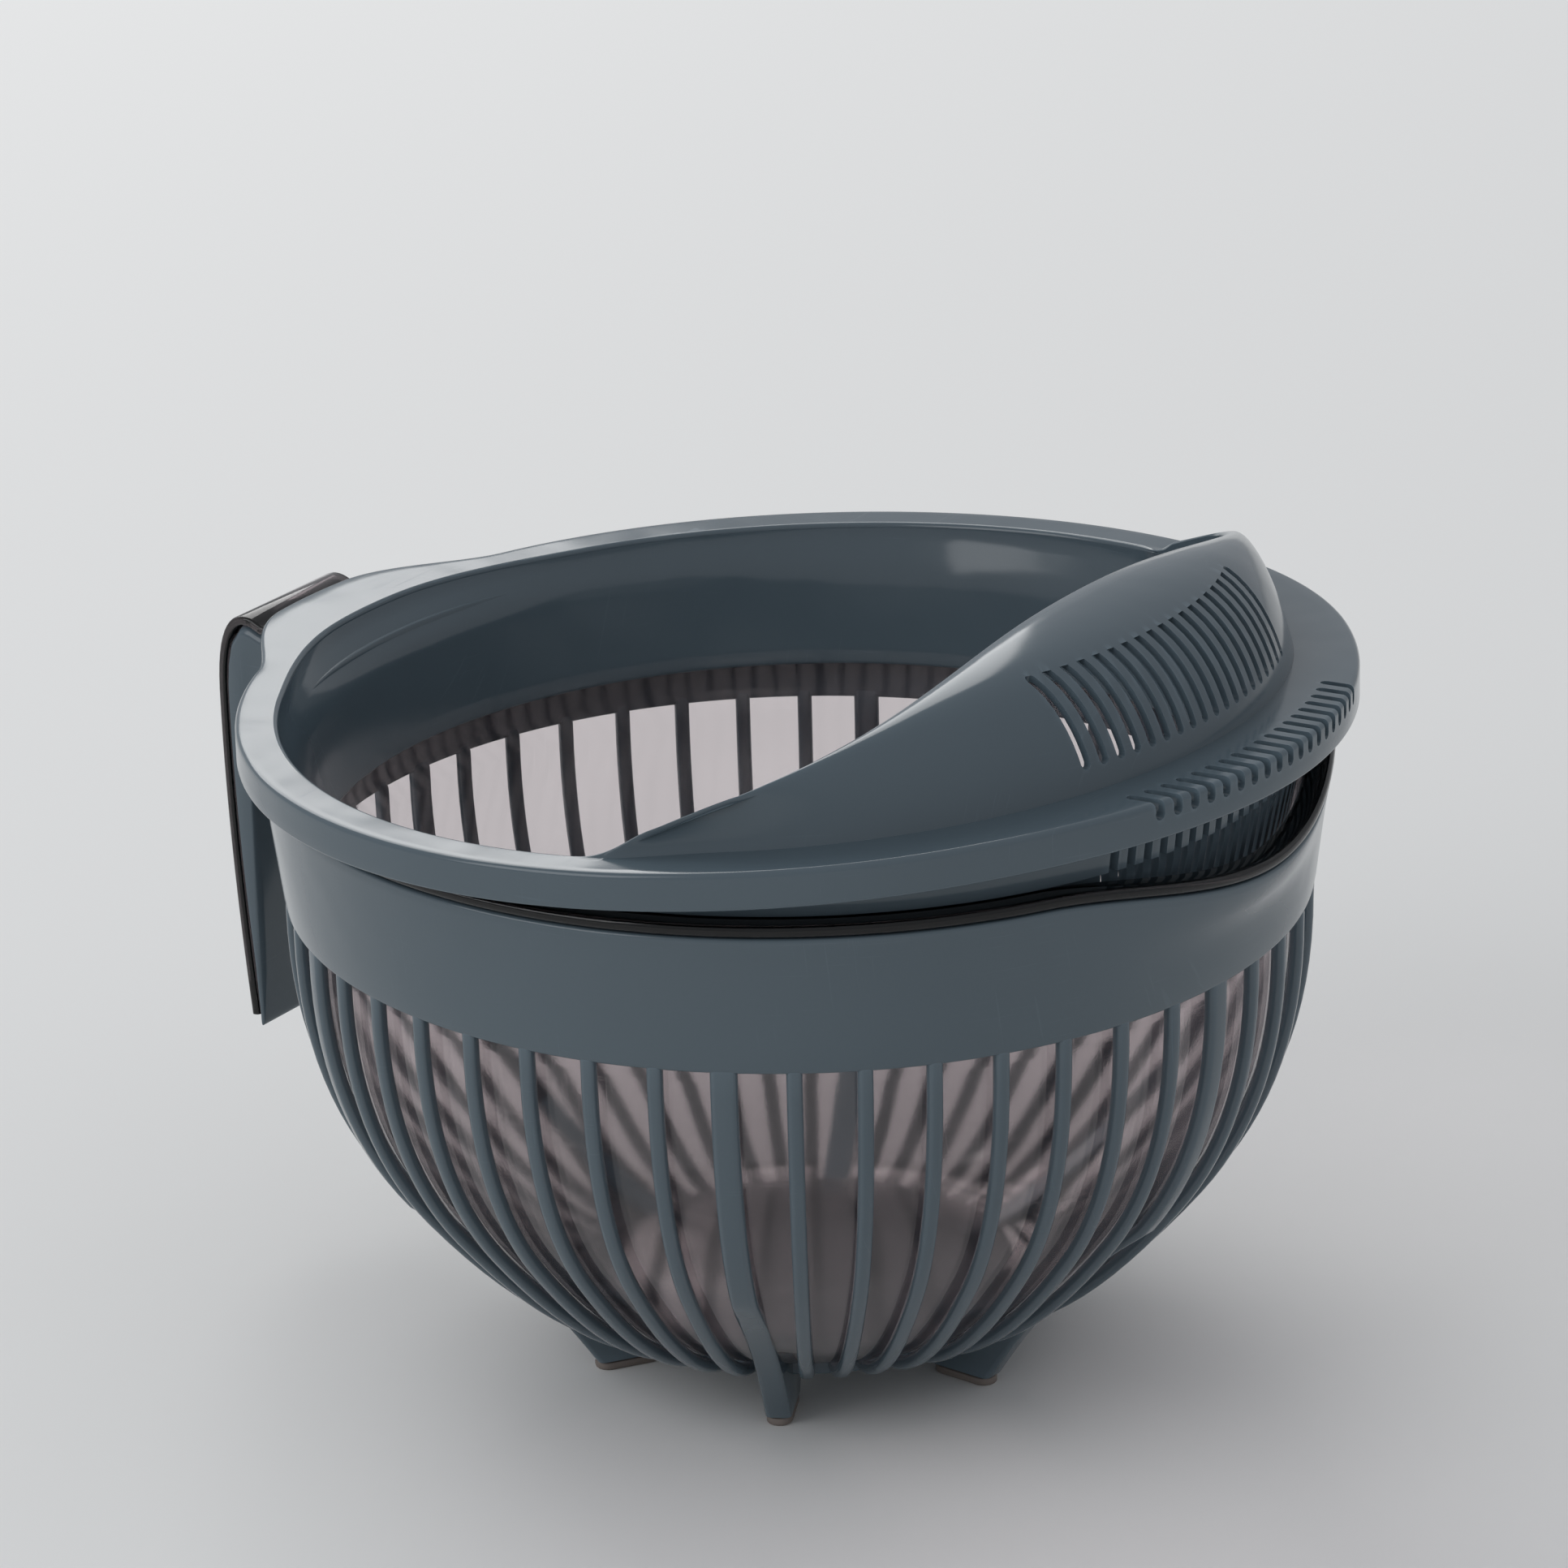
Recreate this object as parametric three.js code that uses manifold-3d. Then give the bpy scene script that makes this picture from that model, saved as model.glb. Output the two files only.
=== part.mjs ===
// Salad bowl set: a ribbed drain cage on six feet, a clear bowl that nests in it,
// and a strainer ring with a slotted visor that covers the pouring side.
// Millimetres, +Z up. The origin is on the table, under the middle of the whole object.
// +X is the pouring side, -X is the handle. Each piece is drawn about the bowl's own axis,
// and the group then moves that axis to its place.

import * as THREE from 'three';
import { mergeVertices } from 'three/addons/utils/BufferGeometryUtils.js';
import Module from 'manifold-3d';

const wasm = await Module();
wasm.setup();

// ---- Driving dimensions -------------------------------------------------------------

const bandBottomRadius = 120;      // outside of the band at its lower edge
const bandDraft = 4.2;             // how much wider the band is at its upper edge
const bandHeight = 33.6;
const bellyHeight = 105.6;         // from the underside of the cage's floor to the band
const footHeight = 11.4;           // from the table to the underside of the cage's floor

const bandWall = 2.4;
const cageWall = 3.2;              // depth of a rib, and thickness of the cage's floor
const bowlWall = 2.2;
const ringWall = 2;
const nestingGap = 0.4;            // between the cage and the bowl in it
const ringFit = 0.8;               // between the bowl and the ring's skirt in it
const seatGap = 0.3;               // between two faces that rest on each other

const ribCount = 48;
const ribsPerFoot = 8;             // every eighth rib is a wide one that ends in a foot
const ribWidth = 3.6;
const wideRibWidth = 6.2;
const firstRibAngle = -4.1;        // degrees from the pouring side
const floorRadius = 50;            // solid disc that the ribs run into
const ribRoot = 0.6;               // how far a rib runs up into the band's lower edge
const ribShoulder = 0.3;           // and how far its root stands in from the band's two faces
const floorProudUnder = 0.4;       // the floor's underside, below the ribs that run into it
const floorProudOver = 0.1;        // and its top above them

const footBow = 1.5;               // outward bow of a foot's outer edge, halfway down
const footTaper = 4;               // how much further in a foot starts than its sole
const padHeight = 2;
const padInnerRadius = 38.2;
const padOuterRadius = 54.8;

const rimThickness = 3;            // rim of the clear bowl, resting on the band
const rimOverhang = 0.5;           // past the outside of the band
const rimBevel = 0.8;

const spoutDip = 7;                // how far the rims drop at the pouring side
const spoutFlare = 4;              // and how far they spread there
const spoutHalfAngle = 30;
const spoutDepth = 0.7;            // share of the band's height that the spout shapes

const handleWidth = 38;
const handleReach = 31.8;          // from the outside of the band to the outside of the strap
const handleDrop = 104;            // from the top of the strap to its lower end
const gripThickness = 6.3;
const gripArmDepth = 10;           // of the handle's arm, below the top of the band
const gripFillet = 8;              // between the arm and the grip
const strapThickness = 2.3;
const strapRise = 8.6;             // top of the strap above the band
const strapRoot = 1;               // how far the strap starts inside the band's outside
const strapEase = 8;               // length of the curve where it leaves the rim
const strapShoulder = 20;          // height of the bend over into the drop
const strapSag = 58;               // depth of the drop's control point
const strapLean = 5;               // how much nearer the axis its lower end is

const lipOverhang = 5.3;           // of the ring's lip past the band
const landWidth = 10;              // flat top of the ring
const ringRise = 9.7;              // top of the ring above the band, at the handle
const ringClimb = 13.2;            // how much higher the ring is at the pouring side
const ringClimbPower = 1.7;        // above 1 the climb gathers towards the pouring side
const ringBevel = 1.2;             // of the ring's inner edge
const lipHeight = 8.8;
const spoutBulge = 3;              // of the ring's lip
const bulgeHalfAngle = 40;
const tabReach = 12.5;             // of the ring's tab over the root of the handle
const tabFlatAngle = 5;            // half angle over which the tab is at its full reach
const tabHalfAngle = 22;
const tabInset = 4;                // how far the ring's inner edge moves out at the tab
const tabInsetAngle = 30;
const skirtBottomRise = 10;        // lower edge of the skirt above the band's lower edge
const skirtClimb = 3;              // how much higher that edge is at the pouring side
const skirtLean = 0.05;            // slope of the skirt, on top of the band's own

const notchSideGap = 1.3;          // between the handle and the notch that it passes through
const notchInset = 1.5;            // inner end of the notch, from the outside of the band

const visorWall = 1.5;
const visorRise = 26.6;            // top of the visor above the ring
const visorHalfAngle = 80;
const visorSquareness = 4.4;       // above 2 its edge is squarer than an oval
const visorSetIn = 4.5;            // of its foot, from the ring's inner edge
const visorDepth = 43.5;           // from the ring's inner edge to the visor's, at its middle
const visorSideGap = 2.5;          // the same at its two ends

const slotCount = 19;
const slotPitch = 4.65;
const slotWidth = 2.3;
const slotEdgeMargin = 14;         // from the visor's edge to the upper ends of its slots
const slotTopShare = 0.87;         // of the visor's rise, at the upper ends of its slots
const slotLift = 4;                // lower ends of the visor's slots, above the ring
const cornerSlotDepth = 4.2;       // how far the corner slots run down the lip
const cornerSlotInset = 3.6;       // their inner ends, from the ring's inner edge
const skirtSlotLift = 8;           // lower ends of the skirt's slots, above its lower edge
const skirtSlotDrop = 5;           // and their upper ends, below the ring's top
const cutDepth = 12;               // how far a slot's cutter passes the wall

// ---- Worked out from them -----------------------------------------------------------

const bandTopRadius = bandBottomRadius + bandDraft;
const bandBottom = footHeight + bellyHeight;
const bandTop = bandBottom + bandHeight;
const rimBottom = bandTop + seatGap;
const rimTop = rimBottom + rimThickness;
const slotMiddle = (slotCount - 1) / 2;
const slotPositions = Array.from({ length: slotCount }, (_, i) => (i - slotMiddle) * slotPitch);

const slate = new THREE.MeshStandardMaterial({ color: 0x5a666d, roughness: 0.32, metalness: 0 });
const smoke = new THREE.MeshStandardMaterial({
  color: 0x8d7472, roughness: 0.08, metalness: 0, transparent: true, opacity: 0.45,
});
const rubber = new THREE.MeshStandardMaterial({ color: 0x6f6862, roughness: 0.75, metalness: 0 });

// ---- Geometry helpers ---------------------------------------------------------------

const radians = THREE.MathUtils.degToRad;
const smoothstep = THREE.MathUtils.smoothstep;

function angleFrom(x, y, centre) {
  const turn = THREE.MathUtils.radToDeg(Math.atan2(y, x)) - centre;
  return Math.abs(THREE.MathUtils.euclideanModulo(turn + 180, 360) - 180);
}

function solid(geometry) {
  const bare = geometry.clone();
  bare.deleteAttribute('normal');
  bare.deleteAttribute('uv');
  const merged = mergeVertices(bare, 1e-3);
  const corners = merged.index.array;
  const kept = [];
  for (let i = 0; i < corners.length; i += 3) {
    const [a, b, c] = corners.slice(i, i + 3);
    if (a !== b && b !== c && c !== a) {
      kept.push(a, b, c);
    }
  }
  const vertProperties = new Float32Array(merged.attributes.position.array);
  const triVerts = new Uint32Array(kept);
  return new wasm.Manifold(new wasm.Mesh({ numProp: 3, vertProperties, triVerts }));
}

function piece(name, body, material) {
  const { numProp, vertProperties, triVerts } = body.getMesh();
  const geometry = new THREE.BufferGeometry();
  const position = new THREE.InterleavedBufferAttribute(
    new THREE.InterleavedBuffer(vertProperties, numProp), 3, 0);
  geometry.setAttribute('position', position);
  geometry.setIndex(new THREE.BufferAttribute(triVerts, 1));
  const flat = geometry.toNonIndexed();
  flat.computeVertexNormals();
  const mesh = new THREE.Mesh(flat, material);
  mesh.name = name;
  return mesh;
}

// A closed outline of [radius, height] points turned about the Z axis.
function turned(outline, segments) {
  const points = outline.map(([radius, height]) => new THREE.Vector2(radius, height));
  return new THREE.LatheGeometry(points, segments).rotateX(Math.PI / 2);
}

// An upright plate: an outline of [x, height] points, as thick as width along Y.
function plate(outline, width) {
  const shape = new THREE.Shape(outline.map(([x, height]) => new THREE.Vector2(x, height)));
  const geometry = new THREE.ExtrudeGeometry(shape, { depth: width, bevelEnabled: false });
  return geometry.translate(0, 0, -width / 2).rotateX(Math.PI / 2);
}

function block(x0, x1, y0, y1, z0, z1) {
  const geometry = new THREE.BoxGeometry(x1 - x0, y1 - y0, z1 - z0);
  return geometry.translate((x0 + x1) / 2, (y0 + y1) / 2, (z0 + z1) / 2);
}

// Sections of [radius, height] points, each at its own angle, joined by a skin. A section that
// doesn't wrap is a strip: its first half runs out along one face and its second half back.
function lofted(sectionAt, angles, wraps) {
  const rows = angles.map((angle) => sectionAt(angle).map(([radius, height]) => new THREE.Vector3(
    radius * Math.cos(radians(angle)), radius * Math.sin(radians(angle)), height)));
  const size = rows[0].length;
  const index = [];
  const spans = wraps ? rows.length : rows.length - 1;
  for (let i = 0; i < spans; i += 1) {
    const here = i * size;
    const next = ((i + 1) % rows.length) * size;
    for (let k = 0; k < size; k += 1) {
      const m = (k + 1) % size;
      index.push(here + k, next + k, next + m, here + k, next + m, here + m);
    }
  }
  if (!wraps) {
    const end = (rows.length - 1) * size;
    for (let k = 0; k < size / 2 - 1; k += 1) {
      const across = size - 2 - k;
      index.push(k, k + 1, across, k, across, across + 1);
      index.push(end + k, end + across, end + k + 1, end + k, end + across + 1, end + across);
    }
  }
  const geometry = new THREE.BufferGeometry();
  geometry.setAttribute('position', new THREE.Float32BufferAttribute(
    rows.flat().flatMap((point) => point.toArray()), 3));
  geometry.setIndex(index);
  return geometry;
}

function anglesOver(from, to, steps) {
  return Array.from({ length: steps + 1 }, (_, i) => from + ((to - from) * i) / steps);
}

function joined(bodies) {
  return wasm.Manifold.union(bodies);
}

// ---- Shared shapes ------------------------------------------------------------------

// The outside of the cage, from the middle of its floor up to the band's lower edge: a flat
// floor, a soft curve out of it, and a full belly that leaves the band upright.
const bellyFullness = 2.28;        // 2 makes a plain ellipse, more makes it squarer
const bellyDepth = bandBottom - footHeight;
const bellyEndAngle = radians(36);
const bellyFlatInset = 4;          // the curve ends this far inside the floor's edge
const bellyFlatRadius = floorRadius - bellyFlatInset;

function bellyCurve(steps) {
  const power = 2 / bellyFullness;
  const points = [];
  for (let i = 0; i <= steps; i += 1) {
    const angle = (bellyEndAngle * i) / steps;
    const height = bandBottom - bellyDepth * Math.sin(angle) ** power;
    points.push(new THREE.Vector2(bandBottomRadius * Math.cos(angle) ** power, height));
  }
  const end = points[steps];
  const endSlope = (bandBottomRadius / bellyDepth) * Math.tan(bellyEndAngle) ** (2 - power);
  const turnRadius = end.x - (end.y - footHeight) * endSlope;
  const turn = new THREE.QuadraticBezierCurve(
    end,
    new THREE.Vector2(turnRadius, footHeight),
    new THREE.Vector2(bellyFlatRadius, footHeight));
  return points.concat(turn.getPoints(steps).slice(1));
}

// A path moved sideways, square to itself, as [x, height] points.
function insideOf(path, depth, beyond = path.at(-1)) {
  return path.map((point, i) => {
    const before = path[Math.max(i - 1, 0)];
    const after = path[i + 1] ?? beyond;
    const along = after.clone().sub(before).normalize();
    return [point.x + along.y * depth, point.y - along.x * depth];
  });
}

// The belly curve moved inwards. It ends level, as if it went on across the axis.
function bellyInside(depth, steps) {
  const curve = bellyCurve(steps);
  const nearEnd = curve.at(-2);
  return insideOf(curve, depth, new THREE.Vector2(-nearEnd.x, nearEnd.y));
}

// The rims of the cage and the bowl drop and spread at the pouring side.
function shapeSpout(geometry) {
  const position = geometry.attributes.position;
  for (let i = 0; i < position.count; i += 1) {
    const x = position.getX(i);
    const y = position.getY(i);
    const z = position.getZ(i);
    const side = 1 - smoothstep(angleFrom(x, y, 0), 0, spoutHalfAngle);
    const share = side * smoothstep(z, bandTop - bandHeight * spoutDepth, bandTop);
    const radius = Math.hypot(x, y);
    const scale = radius > 0 ? 1 + (spoutFlare * share) / radius : 1;
    position.setXYZ(i, x * scale, y * scale, z - spoutDip * share);
  }
  return geometry;
}

// ---- Drain cage ---------------------------------------------------------------------

const curveSteps = 3;
const roundSegments = 48;

function cageBand() {
  const outside = [
    [bandBottomRadius, bandBottom],
    [bandBottomRadius + (bandTopRadius - bandBottomRadius) / 2, bandBottom + bandHeight / 2],
    [bandTopRadius, bandTop],
  ];
  const inside = outside.map(([radius, height]) => [radius - bandWall, height]).reverse();
  return solid(shapeSpout(turned([...outside, ...inside, outside[0]], roundSegments)));
}

// Lower end of a narrow rib: it dies inside the floor. A wide rib runs down into a foot, whose
// outer edge leaves the belly and drops to the sole.
function footPoints() {
  const sole = padHeight + seatGap;
  const leave = bellyCurve(curveSteps)[curveSteps];
  return [
    [(leave.x + padOuterRadius) / 2 + footBow, (leave.y + sole) / 2],
    [padOuterRadius, sole],
    [padInnerRadius, sole],
    [padInnerRadius - footTaper, footHeight],
    [padInnerRadius - footTaper, footHeight + cageWall / 2],
  ];
}

function ribOutline(wide) {
  const outer = bellyCurve(curveSteps).map((point) => [point.x, point.y]);
  const inner = bellyInside(cageWall, curveSteps);
  const lower = wide ? footPoints() : outer.slice(curveSteps + 1);
  const rootHeight = bandBottom + ribRoot;
  const root = [bandBottomRadius - ribShoulder, rootHeight];
  const rootInside = [bandBottomRadius - bandWall + ribShoulder, rootHeight];
  return [root, ...outer.slice(0, curveSteps + 1), ...lower, ...inner.reverse(), rootInside];
}

function cageRibs() {
  const bodies = [];
  for (let i = 0; i < ribCount; i += 1) {
    const wide = i % ribsPerFoot === 0;
    const width = wide ? wideRibWidth : ribWidth;
    const turn = radians(firstRibAngle + (360 * i) / ribCount);
    bodies.push(solid(plate(ribOutline(wide), width).rotateZ(turn)));
  }
  return bodies;
}

function cageFloor() {
  const under = footHeight - floorProudUnder;
  const over = footHeight + cageWall + floorProudOver;
  const outline = [[0, under], [floorRadius, under], [floorRadius, over], [0, over]];
  return solid(turned(outline, roundSegments));
}

function drainCage() {
  return joined([cageBand(), cageFloor(), cageHandle(), ...cageRibs()]);
}

// ---- Handle -------------------------------------------------------------------------

// Side view, measured outwards from the axis. The cage has an arm out of its band and a grip
// that hangs from it. The bowl's strap leaves its rim and lies over both.
const strapOuter = bandTopRadius + handleReach;
const strapTop = bandTop + strapRise;
const handleBottom = strapTop - handleDrop;

const tabUnder = bandTop + ringRise - ringWall - 2 * seatGap;
const tabEdge = bandTopRadius + lipOverhang + tabReach + seatGap;

// Outside of the strap from the rim outwards and down, as [reach, height]. It passes under the
// ring's tab, comes up level with it, and bends over into the drop.
function strapPath() {
  const bendStart = new THREE.Vector2(tabEdge, tabUnder);
  const bendEnd = new THREE.Vector2(strapOuter, strapTop - strapShoulder);
  const arm = new THREE.QuadraticBezierCurve(
    new THREE.Vector2(bandTopRadius - strapRoot, rimTop),
    new THREE.Vector2(bandTopRadius + strapEase, tabUnder - strapRoot),
    bendStart);
  const bend = new THREE.CubicBezierCurve(
    bendStart,
    new THREE.Vector2(tabEdge + 0.3 * strapShoulder, strapTop + 0.1 * strapShoulder),
    new THREE.Vector2(strapOuter, strapTop + 0.05 * strapShoulder),
    bendEnd);
  const drop = new THREE.QuadraticBezierCurve(
    bendEnd,
    new THREE.Vector2(strapOuter, strapTop - strapSag),
    new THREE.Vector2(strapOuter - strapLean, handleBottom));
  return [...arm.getPoints(3), ...bend.getPoints(6).slice(1), ...drop.getPoints(4).slice(1)];
}

function mirroredPlate(outline, width) {
  return plate(outline.map(([reach, height]) => [-reach, height]).reverse(), width);
}

function cageHandle() {
  const outer = insideOf(strapPath(), strapThickness + seatGap);
  const innerReach = strapOuter - strapThickness - seatGap - gripThickness;
  const armBottom = bandTop - gripArmDepth;
  const rootRadius = bandTopRadius - bandWall / 2;
  const outline = [
    [rootRadius, armBottom],
    [rootRadius, bandTop],
    [bandTopRadius + rimOverhang + seatGap, bandTop],
    ...outer.slice(1),
    [innerReach, handleBottom],
    [innerReach, armBottom - gripFillet],
    [innerReach - gripFillet * 0.3, armBottom - gripFillet * 0.3],
    [innerReach - gripFillet, armBottom],
  ];
  return solid(mirroredPlate(outline, handleWidth));
}

// ---- Foot pads ----------------------------------------------------------------------

function footPad(index) {
  const turn = radians(firstRibAngle + (360 * index * ribsPerFoot) / ribCount);
  const half = wideRibWidth / 2;
  const shape = new THREE.Shape();
  shape.absarc(padInnerRadius + half, 0, half, Math.PI / 2, (3 * Math.PI) / 2);
  shape.absarc(padOuterRadius - half, 0, half, -Math.PI / 2, Math.PI / 2);
  const options = { depth: padHeight, bevelEnabled: false, curveSegments: 3 };
  return solid(new THREE.ExtrudeGeometry(shape, options).rotateZ(turn));
}

// ---- Clear bowl ---------------------------------------------------------------------

const bowlOffset = cageWall + nestingGap;

function bowlShell() {
  const outer = bellyInside(bowlOffset, curveSteps).reverse();
  const inner = bellyInside(bowlOffset + bowlWall, curveSteps);
  const wallOut = bandTopRadius - bowlOffset;
  const wallIn = wallOut - bowlWall;
  const outline = [
    [0, outer[0][1]],
    ...outer,
    [(outer.at(-1)[0] + wallOut) / 2, bandBottom + bandHeight / 2],
    [wallOut, rimBottom],
    [bandTopRadius + rimOverhang, rimBottom],
    [bandTopRadius + rimOverhang, rimTop - rimBevel],
    [bandTopRadius + rimOverhang - rimBevel, rimTop],
    [wallIn, rimTop],
    [(inner[0][0] + wallIn) / 2, bandBottom + bandHeight / 2],
    ...inner,
    [0, inner.at(-1)[1]],
  ];
  return solid(shapeSpout(turned(outline, roundSegments)));
}

function bowlStrap() {
  const outer = strapPath();
  const inner = insideOf(outer, strapThickness).reverse();
  const outline = [...outer.map((point) => [point.x, point.y]), ...inner];
  return solid(mirroredPlate(outline, handleWidth));
}

function clearBowl() {
  return joined([bowlShell(), bowlStrap()]);
}

// ---- Strainer ring ------------------------------------------------------------------

const landOuter = bandTopRadius + lipOverhang;
const landInner = landOuter - landWidth;
const visorSetback = landInner - visorDepth;
const visorHalfWidth = landInner - visorSideGap;

function landHeight(angle) {
  return bandTop + ringRise + ringClimb * ((1 + Math.cos(radians(angle))) / 2) ** ringClimbPower;
}

function lipRadius(angle) {
  const fromSpout = angleFrom(Math.cos(radians(angle)), Math.sin(radians(angle)), 0);
  const fromHandle = 180 - fromSpout;
  const bulge = spoutBulge * (1 - smoothstep(fromSpout, 0, bulgeHalfAngle));
  const tab = tabReach * (1 - smoothstep(fromHandle, tabFlatAngle, tabHalfAngle));
  return landOuter + bulge + tab;
}

function innerRadius(angle) {
  const fromHandle = angleFrom(Math.cos(radians(angle)), Math.sin(radians(angle)), 180);
  return landInner + tabInset * (1 - smoothstep(fromHandle, tabFlatAngle, tabInsetAngle));
}

function ringSection(angle) {
  const top = landHeight(angle);
  const outer = lipRadius(angle);
  const inner = innerRadius(angle);
  const skirtOut = bandTopRadius - bowlOffset - bowlWall - ringFit;
  const skirtFoot = bandBottom + skirtBottomRise + skirtClimb * ((1 + Math.cos(radians(angle))) / 2);
  const lean = bandDraft / bandHeight + skirtLean;
  const footOut = skirtOut - lean * (rimTop - skirtFoot);
  const seat = rimTop + seatGap;
  return [
    [outer, top - lipHeight],
    [outer, top - ringWall],
    [outer - ringWall, top],
    [inner + ringBevel, top],
    [inner, top - ringBevel],
    [skirtOut - ringWall, rimBottom],
    [footOut - ringWall, skirtFoot],
    [footOut, skirtFoot],
    [skirtOut, rimBottom],
    [skirtOut, seat],
    [skirtOut + ringWall, seat],
    [inner + ringWall, top - ringWall],
    [outer - ringWall, top - ringWall],
    [outer - ringWall, top - lipHeight],
  ];
}

function ringBody() {
  const steps = 60;
  return solid(lofted(ringSection, anglesOver(0, 360, steps).slice(0, steps), true));
}

// The visor's edge seen from above is a flattened oval across the spout.
function visorEdgeRadius(angle) {
  const direction = radians(angle);
  let low = visorSetback * 0.9;
  let high = landInner;
  for (let i = 0; i < 30; i += 1) {
    const middle = (low + high) / 2;
    const x = (middle * Math.cos(direction)) / visorSetback;
    const y = (middle * Math.abs(Math.sin(direction))) / visorHalfWidth;
    if (x ** 2 + y ** visorSquareness < 1) {
      low = middle;
    } else {
      high = middle;
    }
  }
  return low;
}

function visorProfile(angle, steps) {
  const share = Math.abs(angle) / visorHalfAngle;
  const rise = visorRise * (1 - share ** 3) ** 1.3;
  const top = landHeight(angle);
  const foot = landInner - visorSetIn * (1 - smoothstep(share, 0.8, 1));
  const edge = Math.min(visorEdgeRadius(angle), foot - 1);
  const dome = new THREE.CubicBezierCurve(
    new THREE.Vector2(foot, top - 0.6),
    new THREE.Vector2(foot - 1 - 0.08 * rise, top + 0.5 * rise),
    new THREE.Vector2(foot - 0.33 * (foot - edge), top + 1.12 * rise),
    new THREE.Vector2(edge, top + rise));
  const root = new THREE.Vector2(landInner + 3, top - 0.3);
  return [root, ...dome.getPoints(steps)];
}

function visorSection(angle) {
  const outer = visorProfile(angle, 4);
  const inner = insideOf(outer, -visorWall).reverse();
  return [...outer.map((point) => [point.x, point.y]), ...inner];
}

function visor() {
  return solid(lofted(visorSection, anglesOver(-visorHalfAngle, visorHalfAngle, 18), false));
}

// Nineteen slots in three aligned rows: the visor, the corner of the lip, and the skirt.
function strainerSlots() {
  const half = slotWidth / 2;
  const bodies = [];
  for (const y of slotPositions) {
    const angle = THREE.MathUtils.radToDeg(Math.asin(y / landOuter));
    const top = landHeight(angle);
    const across = (radius) => Math.sqrt(radius ** 2 - y ** 2);
    const visorLow = top + slotLift;
    const visorHigh = top + visorRise * slotTopShare;
    const skirtLow = bandBottom + skirtBottomRise + skirtSlotLift;
    const skirtHigh = top - skirtSlotDrop;
    const corner = across(landInner + cornerSlotInset);
    const past = landOuter + 2 * spoutBulge;
    bodies.push(solid(block(
      visorSetback + slotEdgeMargin, landOuter, y - half, y + half, visorLow, visorHigh)));
    bodies.push(solid(block(
      corner, past, y - half, y + half, top - cornerSlotDepth, top + ringWall)));
    bodies.push(solid(block(
      across(landInner - cutDepth), across(landInner + 0.2 * cutDepth),
      y - half, y + half, skirtLow, skirtHigh)));
  }
  return joined(bodies);
}

// The lip is cut away where the handle's arms pass out under the tab.
function handleNotch() {
  const half = handleWidth / 2 + notchSideGap;
  const bottom = rimBottom - lipHeight;
  const top = tabUnder + 2 * seatGap + 0.1;
  const inner = bandTopRadius + notchInset;
  return solid(block(-strapOuter, -inner, -half, half, bottom, top));
}

function strainerRing() {
  return joined([ringBody(), visor()]).subtract(strainerSlots()).subtract(handleNotch());
}

// ---- Assembly -----------------------------------------------------------------------

const group = new THREE.Group();
group.position.x = (strapOuter - landOuter - spoutBulge) / 2;
group.add(piece('drain_cage', drainCage(), slate));
for (let i = 0; i < ribCount / ribsPerFoot; i += 1) {
  group.add(piece(`foot_pad_${i + 1}`, footPad(i), rubber));
}
group.add(piece('clear_bowl', clearBowl(), smoke));
group.add(piece('strainer_ring', strainerRing(), slate));

export default group;
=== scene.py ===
# %% [markdown]
# # A washing and draining bowl set
# Three mouldings nest in each other: a slate cage of ribs that stands on six feet, a clear
# smoky bowl inside it, and a slate ring on the bowl's rim. The ring has a slotted hood on the
# pouring side, so the water runs out and the salad stays in.
#
# Every shape here is drawn from the same sizes as the working model, in millimetres, and
# turned into metres once, when its mesh is made.

# %% Load the frame
import math

import bmesh
import bpy
import numpy as np
from mathutils import Matrix, Vector


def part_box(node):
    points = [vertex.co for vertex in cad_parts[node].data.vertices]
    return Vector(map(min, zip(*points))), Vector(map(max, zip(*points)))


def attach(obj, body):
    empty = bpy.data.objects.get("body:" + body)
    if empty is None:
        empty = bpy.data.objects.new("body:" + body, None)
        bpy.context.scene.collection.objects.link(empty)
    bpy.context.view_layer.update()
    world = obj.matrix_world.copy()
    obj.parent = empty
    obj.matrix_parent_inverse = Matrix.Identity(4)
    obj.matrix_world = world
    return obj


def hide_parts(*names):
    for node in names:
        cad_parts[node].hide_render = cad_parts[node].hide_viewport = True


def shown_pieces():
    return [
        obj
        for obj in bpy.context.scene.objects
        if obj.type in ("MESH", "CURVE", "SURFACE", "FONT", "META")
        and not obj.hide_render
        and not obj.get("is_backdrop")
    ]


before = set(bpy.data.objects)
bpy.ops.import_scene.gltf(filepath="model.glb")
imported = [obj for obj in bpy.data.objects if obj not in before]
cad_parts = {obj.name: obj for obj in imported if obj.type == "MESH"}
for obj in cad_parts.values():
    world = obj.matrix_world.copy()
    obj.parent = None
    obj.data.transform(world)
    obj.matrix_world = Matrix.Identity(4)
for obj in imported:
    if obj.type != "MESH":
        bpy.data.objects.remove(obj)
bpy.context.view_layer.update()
scene = bpy.context.scene

# %% [markdown]
# ## The main sizes
# The band is the slate hoop round the top of the cage. Nearly everything else is measured from
# it. The bowl's own axis isn't in the middle of the model, because the handle sticks out on one
# side, so the axis is found from where the cage's spout ends.

# %% Main sizes
band_bottom_radius = 120.0
band_top_radius = 124.2
band_bottom = 117.0
band_top = 150.6
band_wall = 2.4
rib_depth = 3.2
foot_height = 11.4
floor_radius = 50.0
spout_dip = 7.0
spout_flare = 4.0
rim_bottom = band_top + 0.3
rim_top = rim_bottom + 3.0

axis_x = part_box("drain_cage")[1].x - (band_top_radius + spout_flare) / 1000
print("the bowl's axis is at x =", round(axis_x, 5))

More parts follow.
